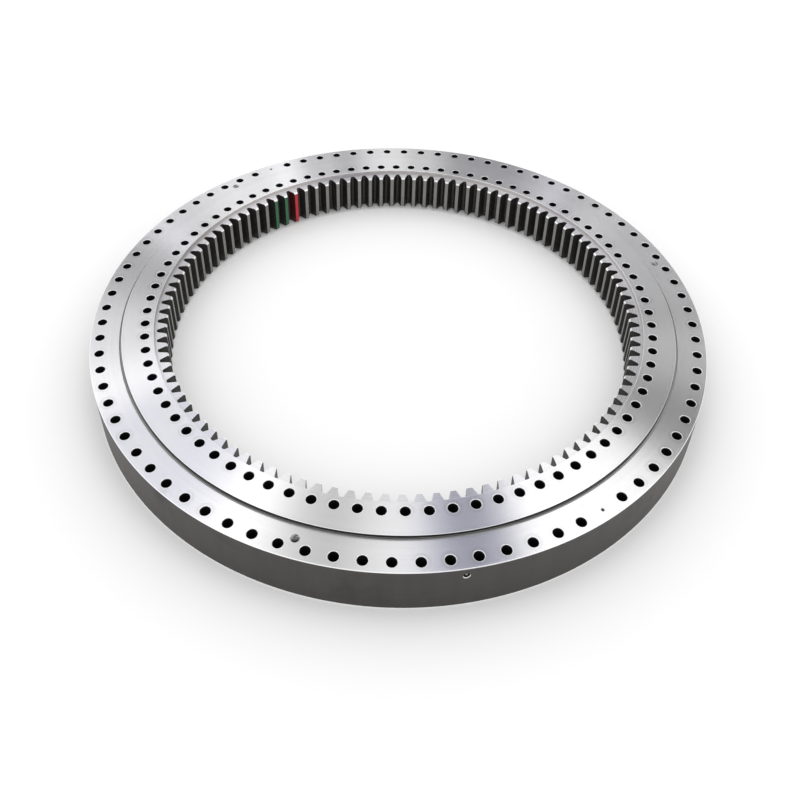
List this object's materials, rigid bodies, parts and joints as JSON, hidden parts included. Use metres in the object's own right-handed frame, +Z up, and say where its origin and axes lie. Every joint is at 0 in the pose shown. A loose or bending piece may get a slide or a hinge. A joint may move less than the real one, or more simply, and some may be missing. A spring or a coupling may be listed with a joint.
{
  "type": "slewing ring bearing",
  "caption": "Slewing ring bearing with a drilled ungeared outer ring and an internally geared inner ring turning on two rows of caged balls, sealed top and bottom.",
  "frame": {"origin": "on the bearing axis in the plane of the outer ring's bottom face", "axes": "+Z up the bearing axis, +X through the upper row's filler plug"},
  "size_m": [1.922, 1.9216, 0.16],
  "materials": {
    "outer_ring_steel": "ground faces, dark turned rim",
    "inner_ring_steel": "ground faces, dark oiled tooth flanks",
    "ball_steel": "polished bearing steel",
    "cage_plastic": "moulded nylon",
    "pin_steel": "ground",
    "seal_rubber": "matt extruded rubber",
    "plated_steel": "zinc plated"
  },
  "bodies": {
    "outer_ring_body": {"fixed_outer_ring": "outer_ring_steel", "upper_filler_plug": "outer_ring_steel", "lower_filler_plug": "outer_ring_steel", "upper_plug_taper_pin": "pin_steel", "lower_plug_taper_pin": "pin_steel", "top_seal": "seal_rubber", "bottom_seal": "seal_rubber", "grease_nipple_1": "plated_steel", "grease_nipple_2": "plated_steel", "grease_nipple_3": "plated_steel", "grease_nipple_4": "plated_steel"},
    "inner_ring_body": {"inner_gear_ring": "inner_ring_steel"},
    "upper_ball_row": {"upper_balls": "ball_steel", "upper_cage_segment_1": "cage_plastic", "upper_cage_segment_2": "cage_plastic", "upper_cage_segment_3": "cage_plastic", "upper_cage_segment_4": "cage_plastic", "upper_cage_segment_5": "cage_plastic", "upper_cage_segment_6": "cage_plastic"},
    "lower_ball_row": {"lower_balls": "ball_steel", "lower_cage_segment_1": "cage_plastic", "lower_cage_segment_2": "cage_plastic", "lower_cage_segment_3": "cage_plastic", "lower_cage_segment_4": "cage_plastic", "lower_cage_segment_5": "cage_plastic", "lower_cage_segment_6": "cage_plastic"}
  },
  "joints": [
    {"name": "inner_ring_spin", "type": "hinge", "parent": "outer_ring_body", "child": "inner_ring_body", "pos_m": [0, 0, 0.08], "axis": [0, 0, 1], "continuous": true},
    {"name": "upper_row_orbit", "type": "hinge", "parent": "outer_ring_body", "child": "upper_ball_row", "pos_m": [0, 0, 0.109], "axis": [0, 0, 1], "continuous": true},
    {"name": "lower_row_orbit", "type": "hinge", "parent": "outer_ring_body", "child": "lower_ball_row", "pos_m": [0, 0, 0.051], "axis": [0, 0, 1], "continuous": true}
  ],
  "couplings": [
    {"joint": "upper_row_orbit", "follows": "inner_ring_spin", "ratio": 0.4919},
    {"joint": "lower_row_orbit", "follows": "inner_ring_spin", "ratio": 0.4919}
  ]
}
